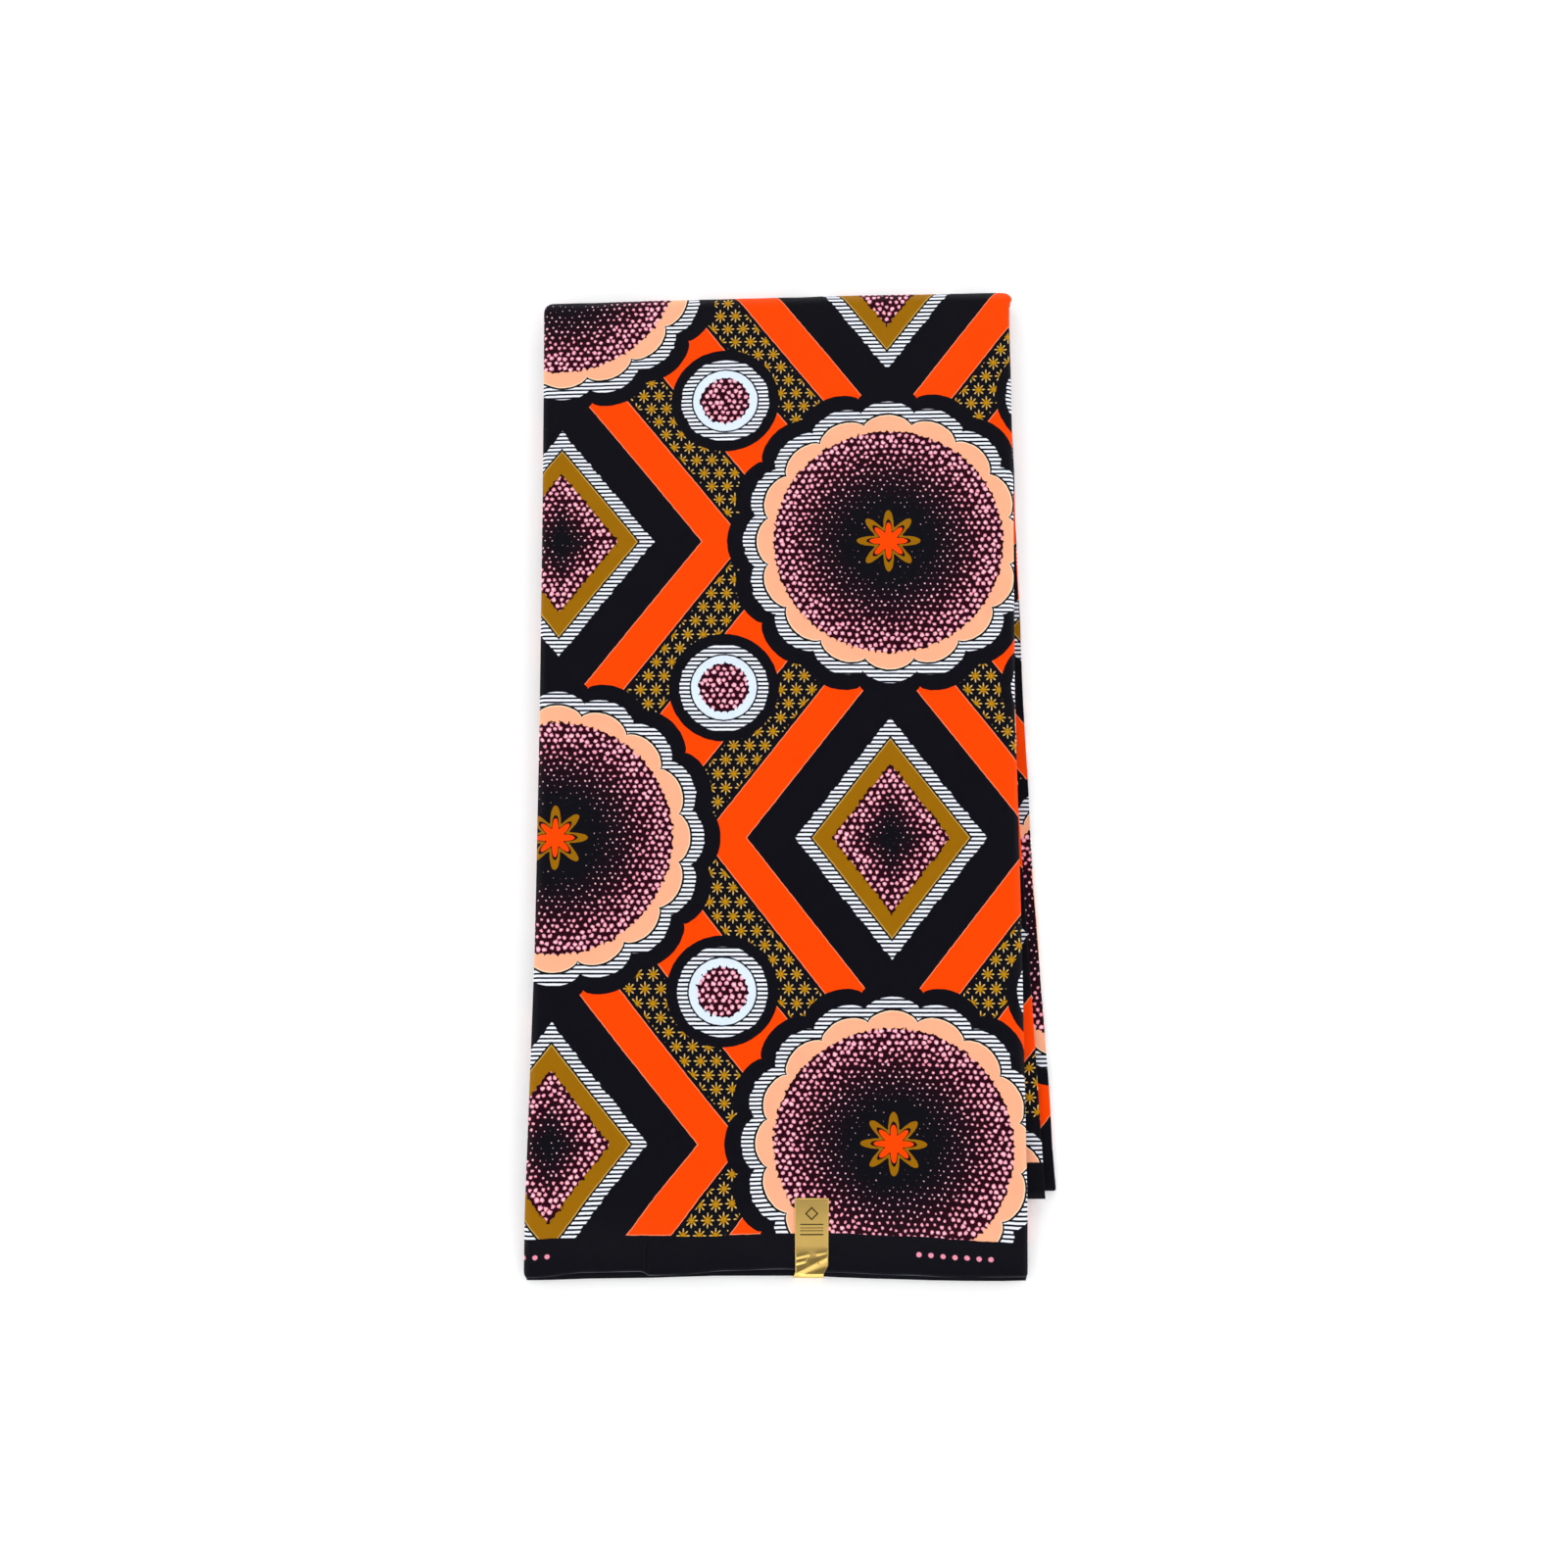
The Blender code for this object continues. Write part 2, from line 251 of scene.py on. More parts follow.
# The foil seal. Distances down it are counted from its top edge
LABEL_LEFT = 0.0060
LABEL_RIGHT = 0.0254
LABEL_TOP_Y = -0.2400
LABEL_TUCK = 0.016  # how far it runs back underneath
LABEL_WALL = 0.0004
LABEL_SET_BACK = 0.0014  # how far its end face stands back from the line's start
FOIL = 0.00016
FOIL_COLUMNS = 36
FRONT_FOIL_STEP, FACE_FOIL_STEP, UNDER_FOIL_STEP = 0.0006, 0.0008, 0.0012  # between its rows
UPPER_BEND_STEPS, LOWER_BEND_STEPS = 8, 6
FOIL_EASE = 0.004
LABEL_TAPER = 0.0005  # how much narrower each side is at the end of the taper
LABEL_TAPER_LENGTH = 0.043
LABEL_UPPER_BEND = 0.0026
LABEL_LOWER_BEND = 0.0009
FOIL_LIFT = 0.00020  # how far the crumpled stretch stands off the cloth
CRUMPLED_FROM, CRUMPLED_TO = 0.027, 0.046
LEFT_DRAWN_IN, LEFT_DRAWN_FROM = 0.0014, 0.041
RIGHT_DRAWN_IN, RIGHT_DRAWN_FROM, RIGHT_DRAWN_LENGTH = 0.0026, 0.0370, 0.0070
CLOTH_FELT_TO, CLOTH_FELT_EASE = 0.040, 0.005  # the cloth's own creases show in it down to here
DIAMOND_DOWN, DIAMOND_REACH, DIAMOND_LINE = 0.0085, 0.0033, 0.0010
RULES = ((0.0146, 0.00030), (0.0166, 0.00018), (0.0182, 0.00022), (0.0204, 0.00036))  # down, half width
RULE_LENGTH = 0.0132
FOIL_PRINT_EDGE = 0.0002

# Folds pressed into the foil, given as the creases are, but across from its middle and down from its top
FOIL_FOLDS = (
    (-0.0100, 0.0425, 0.0100, 0.0325, 0.00056, 0.0015),
    (-0.0098, 0.0450, 0.0098, 0.0385, -0.00020, 0.0016),
    (-0.0098, 0.0335, -0.0020, 0.0315, 0.00038, 0.0010),
    (-0.0098, 0.0365, -0.0035, 0.0352, 0.00034, 0.0009),
    (-0.0098, 0.0388, -0.0045, 0.0372, -0.00020, 0.0008),
    (-0.0015, 0.0310, -0.0030, 0.0370, -0.00024, 0.0007),
    (0.0035, 0.0312, 0.0098, 0.0300, 0.00036, 0.0010),
    (0.0050, 0.0345, 0.0042, 0.0365, -0.00022, 0.0006),
    (-0.0092, 0.0010, -0.0092, 0.0320, 0.00012, 0.0012),
    (0.0094, 0.0010, 0.0094, 0.0320, 0.00014, 0.0009),
    (-0.0040, 0.0020, -0.0015, 0.0250, 0.00006, 0.0030),
    (0.0060, 0.0040, 0.0045, 0.0230, -0.00005, 0.0026),
)

# Dyes, as they look on the finished cloth
BLACK = "#0d0d14"
ORANGE = "#ff4500"
PEACH = "#fcb08b"
CREAM = "#ffdcbb"
PALE_ORANGE = "#ff9069"
OLIVE = "#986605"
PALE_OLIVE = "#c09a4c"
OCHRE = "#b8830c"
PALE_OCHRE = "#e3c37c"
WHITE = "#eef2fd"
ICE = "#dce9f8"
PINK = "#ee93aa"
PALE_PINK = "#ffd8df"
MAROON = "#2a0413"
# Pale grey of the cut edges, not a dye: partly frayed fringe, partly a painted highlight where the edge's
# thickness catches light
FRAY_AND_HIGHLIGHT_GREY = "#55565f"

# The studio
CAMERA_DISTANCE = 1.29
CAMERA_RISE = 0.0009
CAMERA_TILT = 9.93  # degrees off straight down, towards the selvedge end
FLOOR_HALF = 3.5
GLOW_NEAR, GLOW_MORE = 0.13, 0.40  # the floor's glow, and how much more it has far off
GLOW_FROM, GLOW_LENGTH = 0.9, 2.0
BACKDROP_RADIUS = 3.4
BACKDROP_HEIGHT = 1.8
LIGHT_SIZE = 1.5
# Each light's turn round the bundle and height over it in degrees, its distance and its power
LIGHTS = {
    "right light": (0, 38, 1.9, 13.5),
    "far light": (90, 27, 2.0, 17.2),
    "left light": (180, 38, 1.9, 13.8),
    "near light": (270, 34, 2.0, 14.1),
}

# The print's repeat: a roundel in the middle, lozenges between them
REPEAT_WIDTH = 0.392
REPEAT_HEIGHT = 0.3587
ROUNDEL_U = 0.207
ROUNDEL_V = BAND + 0.052
LOZENGE_WIDTH, LOZENGE_HEIGHT = 0.78, 1.0  # its proportions

# Its motifs, by distance from the middle, from the black outline in
LOZENGE = {
    "outline": 0.0520,
    "hatching": 0.0440,
    "dyes": ((BLACK, 0.0374), (PALE_OLIVE, 0.0364), (OLIVE, 0.0358)),
    "dots": 0.0268,
}
SMALL_ROUNDEL = {
    "outline": 0.0325,
    "hatching": 0.0262,
    "dyes": ((BLACK, 0.0203), (ICE, 0.0194)),
    "dots": 0.0142,
}
ROUNDEL = {
    "outline": 0.0905,
    "hatching": 0.0808,
    "dyes": ((BLACK, 0.0740), (CREAM, 0.0728), (PEACH, 0.0722)),
    "dots": 0.0680,
}
SCALLOPS, SCALLOP_CURVE, SCALLOP_DEPTH = 16, 0.6, 0.0060
FLOWER_PETALS = 8
FLOWER_CORE, FLOWER_PETAL = 0.009, 0.010  # its radius, and how far its petals pass it
FLOWER_OUTLINE = 0.0045
FLOWER_DYES = ((OLIVE, 1.0), (BLACK, 0.70), (ORANGE, 0.60))  # from outside in, by share of its size

# Bands between the motifs, by distance from a lozenge's middle
ZIGZAGS = ((0.0668, 0.0862), (0.1130, 0.3000))
STARRED = (0.0885, 0.1107)
PALE_LINE = 0.0004  # pale outline of a zigzag
BAND_MARGIN = 0.0007  # black left between a zigzag and the selvedge band
LINE_PITCH = 0.0025  # fine lines of the hatching
LINE_HALF = 0.00068
RAGGED = 0.0010  # how much the lines' ends differ
DOT_PITCH_U, DOT_PITCH_V = 0.0039, 0.0068
DOT_LEAST, DOT_SPREAD = 0.00102, 0.00040  # a full dot's least radius, and how much more it may have
DOT_STRAY_U, DOT_STRAY_V = 0.34, 0.24  # how far a dot may stray, as shares of the pitch
DOT_RAGGED = 0.0015
FIELD_SWELL = 1.1  # how far the dots' ground reaches out between them
PALE_CORE = 0.0007  # how far inside a dot its paler middle starts
STAR_PITCH_U, STAR_PITCH_V = 0.0092, 0.0084
STAR_RAYS, RAY_SHARPNESS = 8, 2.6
STAR_CORE, STAR_RAY = 0.0012, 0.0026
DASH_UP, DASH_LENGTH, DASH_HALF = 0.0040, 0.00042, 0.00026  # dashes above and below each star
DYE_EDGE = 0.00025  # softness of a dye's edge
WANDER = 0.0006  # how far the dyes' outlines wander
LINE_WANDER = 0.00025
THREAD_PITCH = 0.00034
FRAY_AND_HIGHLIGHT_EDGE = 0.0004  # width of the cut edges' pale grey, partly frayed wear and partly a painted highlight

# A row of plain dots at both ends of the front selvedge
SPOT_V = 0.0100
SPOT_PITCH = 0.0068
SPOT_RADIUS = 0.0015
SPOT_EDGE = 0.0003
SPOTTED = ((0.2176, 0.2652), (-0.0100, 0.0125))


def ease(share):
    share = min(max(share, 0.0), 1.0)
    return share * share * (3 - 2 * share)


def row_at(table, y):
    """The row of a table at y, with the values between two rows mixed evenly."""
    for upper, lower in zip(table, table[1:]):
        if y >= lower[0]:
            share = min(max((upper[0] - y) / (upper[0] - lower[0]), 0.0), 1.0)
            return [a + (b - a) * share for a, b in zip(upper, lower)]
    return list(table[-1])


def value_at(table, x):
    """A table's value at x, with the values between two rows mixed smoothly."""
    for (x_left, left), (x_right, right) in zip(table, table[1:]):
        if x <= x_right:
            return left + (right - left) * ease((x - x_left) / (x_right - x_left))
    return table[-1][1]


def line_height(y):
    """Height of the folding line under the front half."""
    sunk = ease((DROOP_Y - y) / (DROOP_Y - FRONT_END_Y))
    return HALF_STACK - (HALF_STACK - TIP_LIFT) * sunk


def on_line(along, off):
    """(y, z) at a distance along the folding line and a height off it."""
    if along <= FOLD_START:
        y = FRONT_END_Y + along
        rise = line_height(y + SLOPE_STEP) - line_height(y - SLOPE_STEP)
        tilt = math.atan(rise / (2 * SLOPE_STEP))
        return y - off * math.sin(tilt), line_height(y) + off * math.cos(tilt)
    if along <= FOLD_END:
        turn = (along - FOLD_START) / HALF_STACK
        return FOLD_CENTRE_Y + off * math.sin(turn), HALF_STACK + off * math.cos(turn)
    return FOLD_CENTRE_Y - (along - FOLD_END), HALF_STACK - off


def back_along(y):
    """Distance along the folding line of a place on the back half."""
    return FOLD_END + FOLD_CENTRE_Y - y


def turned_share(along):
    """0 on the front half, 1 on the back half, and between them round the fold."""
    return min(max((along - FOLD_START) / FOLD_LENGTH, 0.0), 1.0)


def side_drop(across, along):
    """How far the outer plies have turned down at this place across, which fades out under the fold."""
    share = max((abs(across) - SIDE_TURN_FROM) / (1 - SIDE_TURN_FROM), 0.0)
    return SIDE_TURN * share**4 * (1 - ease(2 * turned_share(along) - 1))


def front_sides(along):
    return row_at(FRONT_SIDES, FRONT_END_Y + along)[1:]


def second_sides(along):
    return row_at(SECOND_SIDES, FOLD_CENTRE_Y - along + FOLD_END)[1:]


def back_sides(along):
    return row_at(BACK_SIDES, FOLD_CENTRE_Y - along + FOLD_END)[1:]


def hidden_sides(along):
    """The hidden plies follow the front half, then the back half's upper layer."""
    front = row_at(FRONT_SIDES, FRONT_END_Y + min(along, FOLD_START))[1:]
    back = row_at(SECOND_SIDES, FOLD_CENTRE_Y - max(along - FOLD_END, 0.0))[1:]
    share = ease(turned_share(along))
    return [a + (b - a) * share for a, b in zip(front, back)]


def hidden_inner_off(along):
    return GAP / 2 + (WALL + GAP) * ease(turned_share(along))


def hidden_outer_off(along):
    outer = HALF_STACK - WALL - GAP
    return outer - (BACK_GROUP - WALL) * ease((along - FOLD_END) / BACK_TAPER)


def spaced(start, end, step):
    """Places from start to end about a step apart, without the last."""
    count = max(1, round((end - start) / step))
    return [start + (end - start) * i / count for i in range(count)]


def stations(start, end, step):
    """Places along a layer: close together in the droop and round the fold."""
    approach = FOLD_START - FOLD_APPROACH
    tapered = FOLD_END + BACK_TAPER
    marks = spaced(0.0, DROOP_END, step * DROOP_SHARE)
    marks += spaced(DROOP_END, approach, step)
    marks += spaced(approach, FOLD_START, step / 2)
    marks += spaced(FOLD_START, FOLD_END, FOLD_STEP)
    marks += spaced(FOLD_END, tapered, TAPER_STEP)
    marks += spaced(tapered, back_along(SECOND_END_Y), step)
    clear = CLEAR_SHARE * step
    return [start] + [mark for mark in marks if start + clear < mark < end - clear] + [end]


def thinned(places, least):
    """Sorted places, without any that comes closer than the least distance to the one before."""
    kept = []
    for place in sorted(places):
        if not kept or place - kept[-1] >= least:
            kept.append(place)
    return kept


def crease_height(creases, x, y):
    """Height that the creases add at a point: each is a soft ridge or trough along its line."""
    height = 0.0
    for x_from, y_from, x_to, y_to, rise, width in creases:
        run_x, run_y = x_to - x_from, y_to - y_from
        share = ((x - x_from) * run_x + (y - y_from) * run_y) / (run_x * run_x + run_y * run_y)
        share = min(max(share, 0.0), 1.0)
        off_x, off_y = x - x_from - run_x * share, y - y_from - run_y * share
        spread = (off_x * off_x + off_y * off_y) / (width * width)
        if spread < CREASE_REACH**2:
            height += rise * math.exp(-spread)
    return height


def unevenness(x, y):
    """Gentle rise and fall of the pressed plies, which no crease makes. Its waves are in radians a metre."""
    bend_x = 2.1 * math.sin(y * 17)
    bend_y = 1.3 * math.sin(x * 29)
    long_waves = math.sin(x * 61 + bend_x) * math.sin(y * 43 + bend_y)
    short_waves = math.sin(x * 127 + y * 71) * math.sin(y * 109 - x * 38 + 0.7)
    return LONG_WAVE * long_waves + SHORT_WAVE * short_waves


def front_rise(x, y):
    """Height of the front ply's creases and unevenness."""
    return crease_height(CREASES, x, y) + unevenness(x, y)


def counted_grid(columns, rows):
    """A flat grid whose vertices stand at their own column and row number."""
    bm = bmesh.new()
    bmesh.ops.create_grid(bm, x_segments=columns - 1, y_segments=rows - 1, size=1.0)
    bmesh.ops.translate(bm, vec=(1, 1, 0), verts=bm.verts)
    bmesh.ops.scale(bm, vec=((columns - 1) / 2, (rows - 1) / 2, 1), verts=bm.verts)
    return bm


def raise_levels(bm, count):
    """Extrudes a flat grid up by one unit at a time into a closed block."""
    top = bm.verts[:] + bm.edges[:] + bm.faces[:]
    for _ in range(count):
        top = bmesh.ops.extrude_face_region(bm, geom=top)["geom"]
        risen = [item for item in top if isinstance(item, bmesh.types.BMVert)]
        bmesh.ops.translate(bm, vec=(0, 0, 1), verts=risen)


def counts_of(bm):
    """Each vertex's column, row and level, read before it is laid in place."""
    bm.verts.index_update()
    return [tuple(round(value) for value in vert.co) for vert in bm.verts]


def in_frame(x, y, z):
    """A point of the bundle, moved into the CAD frame, with the slant of its top fold."""
    y -= value_at(TOP_SLANT, x) * ease((y - SLANT_FROM_Y) / SLANT_LENGTH)
    return Vector((x + SHIFT_X, y + SHIFT_Y, z))


def add_object(name, data):
    obj = bpy.data.objects.new(name, data)
    bpy.context.scene.collection.objects.link(obj)
    return obj


def add_surface(name, bm, material, sharp=40):
    """A smooth mesh object. Edges that turn by more than the sharp angle, in degrees, stay crisp."""
    mesh = bpy.data.meshes.new(name)
    bm.to_mesh(mesh)
    bm.free()
    mesh.shade_smooth()
    mesh.set_sharp_from_angle(angle=math.radians(sharp))
    mesh.materials.append(material)
    return add_object(name, mesh)


def give_thickness(obj, thickness):
    solidify = obj.modifiers.new("cloth thickness", "SOLIDIFY")
    solidify.thickness = thickness
    solidify.offset = 0.0
    solidify.use_even_offset = False


def rolled_edge():
    """A folded edge from its tuck round to the top: (in from the side, below the top, length to the top)."""
    turn = math.pi * ROLL
    points = [(tuck, 2 * ROLL, turn + tuck - ROLL) for tuck in (TUCK, TUCK_MIDDLE)]
    for i in range(ROLL_STEPS + 1):
        angle = math.pi * i / ROLL_STEPS
        inward, below = ROLL - ROLL * math.sin(angle), ROLL + ROLL * math.cos(angle)
        points.append((inward, below, turn - ROLL * angle))
    return points


def top_columns(creases_at=()):
    """Places over a ply's flat top, as shares of its width: closer near the sides and at creases."""
    near_sides = [SIDE_COLUMN_STEP * i for i in range(1, SIDE_COLUMNS + 1)]
    places = [i * COLUMN_STEP for i in range(1, int(PANEL_WIDTH / COLUMN_STEP) + 1)]
    places = [place for place in places if SIDE_MARGIN < place < PANEL_WIDTH - SIDE_MARGIN]
    for middle in creases_at:
        crowd = [middle + sign * off for off in CREASE_COLUMNS for sign in (-1, 1)]
        places = [place for place in places if abs(place - middle) > CREASE_MARGIN] + crowd
    places += near_sides + [PANEL_WIDTH - off for off in near_sides]
    return [place / PANEL_WIDTH for place in thinned(places, LEAST_COLUMN_STEP)]


def lay_print(bm, prints, places):
    """Writes each vertex's place in the print to the mesh's UV layer."""
    for face in bm.faces:
        for loop in face.loops:
            loop[prints].uv = places[loop.vert.index]


def single_ply(rows, sides, top_off, shift_along, surface, print_at, in_front, creases_at=()):
    """One ply of cloth with both sides folded under, as a sheet along the folding line.

    shift_along(x, along) moves a row's place, surface(x, y, along) adds creases, and print_at(x, along) gives
    the place in the print and the distance from the selvedge. A ply in front turns down at its sides.
    """
    edge = rolled_edge()
    columns = [(0.0, *point) for point in edge]
    columns += [(share, None, 0.0, 0.0) for share in top_columns(creases_at)]
    columns += [(1.0, *point) for point in reversed(edge)]
    bm = counted_grid(len(columns), len(rows))
    counts = counts_of(bm)
    prints = bm.loops.layers.uv.new("cloth")
    from_edge = bm.verts.layers.float.new("from_edge")
    toward_surface = -1 if in_front else 1
    places = []
    for vert, (column, row, _) in zip(bm.verts, counts):
        share, inward, below, length = columns[column]
        along = rows[row]
        left, right = sides(along)
        middle, half = (left + right) / 2, (right - left) / 2
        if inward is None:
            x = left + (right - left) * share
            print_x = x
        elif share == 0.0:
            x = left + inward
            print_x = middle - (half - ROLL) - length
        else:
            x = right - inward
            print_x = middle + (half - ROLL) + length
        along = shift_along(x, along)
        y, _ = on_line(along, 0.0)
        drop = side_drop((x - middle) / half, along) if in_front else 0.0
        off = top_off + below * toward_surface - drop + surface(x, y, along)
        vert.co = in_frame(x, *on_line(along, off))
        u, v, vert[from_edge] = print_at(print_x, along)
        places.append((u, v))
    lay_print(bm, prints, places)
    return bm


def front_cloth():
    """The outer ply's front stretch, from its selvedge over the top fold to the underside."""

    def shift_along(x, along):
        lag = value_at(FRONT_SELVEDGE, x) - FRONT_END_Y
        return along + lag * max(1 - along / DROOP_END, 0.0)

    def surface(x, y, along):
        return front_rise(x, y) * (1 - turned_share(along))

    def print_at(x, along):
        lag = (value_at(BAND_TOP, x) - FRONT_END_Y - BAND) * (1 - ease(along / BAND_LAG_LENGTH))
        selvedge = along - (value_at(FRONT_SELVEDGE, x) - FRONT_END_Y)
        return x - PRINT_LEFT, along - lag, selvedge

    bm = single_ply(
        rows=stations(0.0, FOLD_END - GAP / 2, FRONT_STEP),
        sides=front_sides,
        top_off=HALF_STACK - PLY / 2,
        shift_along=shift_along,
        surface=surface,
        print_at=print_at,
        in_front=True,
        creases_at=(BAND_CREASE,),
    )
    bmesh.ops.reverse_faces(bm, faces=bm.faces)
    return bm


def second_cloth():
    """The back half's upper ply, which shows beside the front half low on the right."""
    end = back_along(SECOND_END_Y)
    return single_ply(
        rows=stations(FOLD_END + FOLD_SEAM, end, SECOND_STEP),
        sides=second_sides,
        top_off=GAP / 2 + PLY / 2,
        shift_along=lambda x, along: along,
        surface=lambda x, y, along: 0.0,
        print_at=lambda x, along: (x + SECOND_SHIFT, CLOTH_WIDTH - (end - along), end - along),
        in_front=False,
    )


def ply_stack(start, end, plies, sides, off_at, drop_share, print_u, print_v, inset, ends):
    """A stack of plies as one block, extruded level by level, with a fold loop for each two plies.

    On the left the loops join plies 1 and 2, 3 and 4, and so on, and on the right they lie one ply further
    up. Each ply's cut end has its own length, from ends. print_u(x, level, loop, flat) and print_v(along)
    give a place in the print, where a flat face is one of the two that lie level.
    """
    rows = stations(start, end, STACK_STEP)
    across_places = [-place for place in reversed(RIM_PLACES)] + [i / 8 for i in range(-6, 7)]
    across_places += RIM_PLACES
    levels = PLY_LEVELS * plies
    bm = counted_grid(len(across_places), len(rows))
    raise_levels(bm, levels)
    counts = counts_of(bm)
    prints = bm.loops.layers.uv.new("cloth")
    from_edge = bm.verts.layers.float.new("from_edge")
    at_selvedge = start == 0.0
    last_row = len(rows) - 1
    places = []
    for vert, (column, row, level) in zip(bm.verts, counts):
        across = across_places[column]
        along = rows[row]
        left, right = sides(along)
        middle, half = (left + right) / 2, (right - left) / 2
        loop_number, in_loop = divmod(level + (PLY_LEVELS if across > 0 else 0), LOOP_LEVELS)
        stand_back = LOOP_GROOVE[in_loop] + inset
        sway = LONG_SWAY * math.sin(along * LONG_SWAY_WAVE + SWAY_LAG * loop_number)
        sway += SHORT_SWAY * math.sin(along * SHORT_SWAY_WAVE + loop_number)
        rim = ease((abs(across) - RIM_FROM) / (1 - RIM_FROM))
        x = middle + across * (half - stand_back * rim + sway * rim)
        ply_number = min(level // PLY_LEVELS, plies - 1)
        shorter = ends[ply_number % len(ends)] + (CUT_BEVEL if level % PLY_LEVELS == 0 else 0.0)
        reach = value_at(UNDER_SELVEDGE, x) if at_selvedge else 0.0
        if row == 0 and at_selvedge:
            along = start + (shorter - reach)
        if row == last_row:
            along = end - shorter
        off = off_at(along, level / levels) - side_drop(across, along) * drop_share(level / levels)
        vert.co = in_frame(x, *on_line(along, off))
        vert[from_edge] = min(along - start + reach if at_selvedge else 1.0, end - along)
        places.append((x, print_v(along)))
    for face in bm.faces:
        low = min(counts[loop.vert.index][2] for loop in face.loops)
        flat = all(counts[loop.vert.index][2] == low for loop in face.loops)
        at_right = face.calc_center_median().x > 0
        loop_number = (low + (PLY_LEVELS if at_right else 0)) // LOOP_LEVELS
        for loop in face.loops:
            x, v = places[loop.vert.index]
            loop[prints].uv = (print_u(x, low, loop_number, flat), v)
    return bm


def hidden_plies():
    """The hidden plies of both halves and the fold, with their folded sides and cut ends."""
    end = back_along(HIDDEN_END_Y)

    def off_at(along, share):
        inner = hidden_inner_off(along)
        return inner + (hidden_outer_off(along) - inner) * share

    def print_u(x, level, loop_number, flat):
        if flat:
            return x - PRINT_LEFT + HIDDEN_SHIFT
        return HIDDEN_LOOP_STEP * loop_number + (HIDDEN_LOOP_RIGHT if x > 0 else HIDDEN_LOOP_LEFT)

    return ply_stack(
        start=0.0,
        end=end,
        plies=HIDDEN_PLIES,
        sides=hidden_sides,
        off_at=off_at,
        drop_share=lambda share: share,
        print_u=print_u,
        print_v=lambda along: CLOTH_WIDTH * along / end,
        inset=HIDDEN_INSET,
        ends=HIDDEN_ENDS,
    )


def back_cloth():
    """The back half's lowest plies, which stick out furthest on the right and lie flat on the surface."""
    end = back_along(BACK_END_Y)

    def off_at(along, share):
        inner = hidden_outer_off(along) + GAP
        return inner + (HALF_STACK - inner) * share

    def print_u(x, level, loop_number, flat):
        if flat:
            return x + BACK_UPPER_SHIFT if level == 0 else BACK_UNDER_FROM - x
        return BACK_LOOP_STEP * loop_number + (BACK_LOOP_RIGHT if x > 0 else BACK_LOOP_LEFT)

    return ply_stack(
        start=FOLD_END + GAP / 2,
        end=end,
        plies=BACK_PLIES,
        sides=back_sides,
        off_at=off_at,
        drop_share=lambda share: 0.0,
        print_u=print_u,
        print_v=lambda along: CLOTH_WIDTH - (end - along),
        inset=0.0,
        ends=BACK_ENDS,
    )


def arc(centre, radius, from_degrees, to_degrees, steps):
    """Points (y, z) along an arc, without its first one."""
    for i in range(1, steps + 1):
        angle = math.radians(from_degrees + (to_degrees - from_degrees) * i / steps)
        yield centre[0] + radius * math.cos(angle), centre[1] + radius * math.sin(angle)


def label_route():
    """Middle of the foil from its top edge down the front, round the selvedges and back underneath."""
    middle_off = HALF_STACK + GAP / 2 + FOIL / 2
    face_y = FRONT_END_Y + LABEL_SET_BACK - GAP - LABEL_WALL / 2
    under_z = TIP_LIFT + GAP / 2 - GAP - LABEL_WALL / 2
    upper_y = face_y + LABEL_UPPER_BEND
    front_places = reversed(spaced(upper_y, LABEL_TOP_Y, FRONT_FOIL_STEP))
    route = [on_line(y - FRONT_END_Y, middle_off) for y in front_places]
    route.insert(0, on_line(LABEL_TOP_Y - FRONT_END_Y, middle_off))
    upper_centre = (upper_y, route[-1][1] - LABEL_UPPER_BEND)
    route += arc(upper_centre, LABEL_UPPER_BEND, 90, 180, UPPER_BEND_STEPS)
    lower_centre = (face_y + LABEL_LOWER_BEND, under_z + LABEL_LOWER_BEND)
    route += [(face_y, z) for z in reversed(spaced(lower_centre[1], route[-1][1], FACE_FOIL_STEP))]
    route += arc(lower_centre, LABEL_LOWER_BEND, 180, 270, LOWER_BEND_STEPS)
    under_places = spaced(lower_centre[0], face_y + LABEL_TUCK, UNDER_FOIL_STEP)[1:]
    route += [(y, under_z) for y in under_places]
    return [Vector(point) for point in route]


def foil_label():
    """Thin gold foil glued over the front selvedges, crumpled low down where it was pressed round them."""
    route = label_route()
    bm = counted_grid(FOIL_COLUMNS, len(route))
    counts = counts_of(bm)
    prints = bm.loops.layers.uv.new("cloth")
    distances = [0.0]
    for before, after in zip(route, route[1:]):
        distances.append(distances[-1] + (after - before).length)
    middle = (LABEL_LEFT + LABEL_RIGHT) / 2
    places = []
    for vert, (column, row, _) in zip(bm.verts, counts):
        ahead = route[min(row + 1, len(route) - 1)] - route[max(row - 1, 0)]
        outward = Vector((ahead.y, -ahead.x)).normalized()
        down = distances[row]
        half = (LABEL_RIGHT - LABEL_LEFT) / 2 - LABEL_TAPER * min(down / LABEL_TAPER_LENGTH, 1.0)
        across = half * (2 * column / (FOIL_COLUMNS - 1) - 1)
        lifted = ease((down - CRUMPLED_FROM) / FOIL_EASE) - ease((down - CRUMPLED_TO) / FOIL_EASE)
        rise = crease_height(FOIL_FOLDS, across, down) + FOIL_LIFT * lifted
        left_drawn = ease((down - LEFT_DRAWN_FROM) / FOIL_EASE)
        right_drawn = ease((down - RIGHT_DRAWN_FROM) / RIGHT_DRAWN_LENGTH)
        across -= LEFT_DRAWN_IN * left_drawn * max(-across / half, 0.0) ** 3
        across -= RIGHT_DRAWN_IN * right_drawn * max(across / half, 0.0) ** 3
        felt = 1 - ease((down - CLOTH_FELT_TO) / CLOTH_FELT_EASE)
        rise += front_rise(middle + across, route[row].x) * felt
        y, z = route[row] + outward * rise
        vert.co = in_frame(middle + across, y, z)
        places.append((across, down))
    lay_print(bm, prints, places)
    return bm


def set_inputs(node, values):
    for name, value in values.items():
        node.inputs[name].default_value = value


